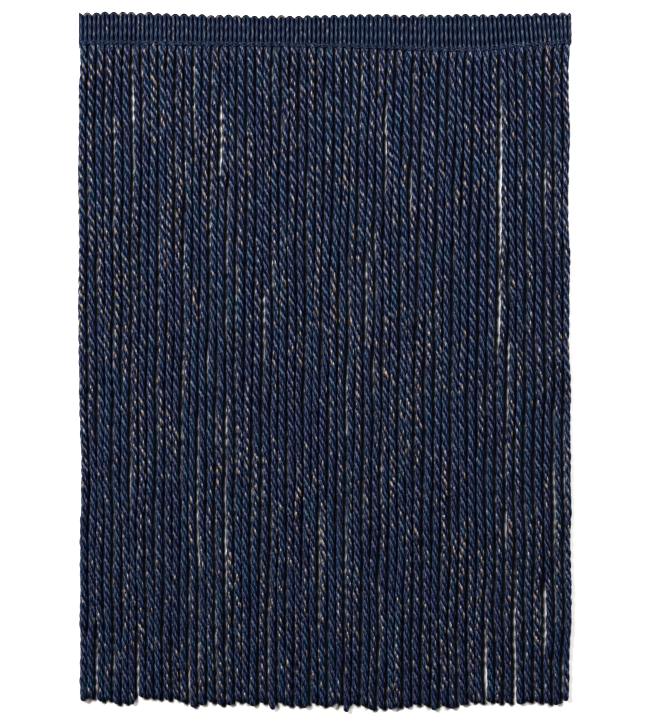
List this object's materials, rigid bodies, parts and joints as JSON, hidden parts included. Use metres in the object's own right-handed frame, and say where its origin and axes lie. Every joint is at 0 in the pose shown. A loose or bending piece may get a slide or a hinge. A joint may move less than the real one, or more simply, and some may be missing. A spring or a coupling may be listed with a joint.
{
  "type": "bullion fringe",
  "caption": "Cut length of bullion fringe: a ribbed woven heading with a looped top edge and a deep skirt of twisted cords, lying flat.",
  "frame": {"origin": "middle of the heading's flat back face, on the surface that the fringe lies on", "axes": "+X along the heading, +Y up the drop from the cord ends to the looped edge, +Z out of the face"},
  "size_m": [0.2141, 0.3034, 0.0032],
  "materials": {
    "heading_yarn": "navy viscose yarn woven in close vertical ribs, softly lustrous, with a few champagne metallic threads",
    "bullion_yarn": "navy viscose yarn twisted into three-ply cords, softly lustrous, flecked with champagne metallic thread"
  },
  "bodies": {
    "root": {"heading": "heading_yarn", "skirt": "bullion_yarn"}
  },
  "joints": []
}
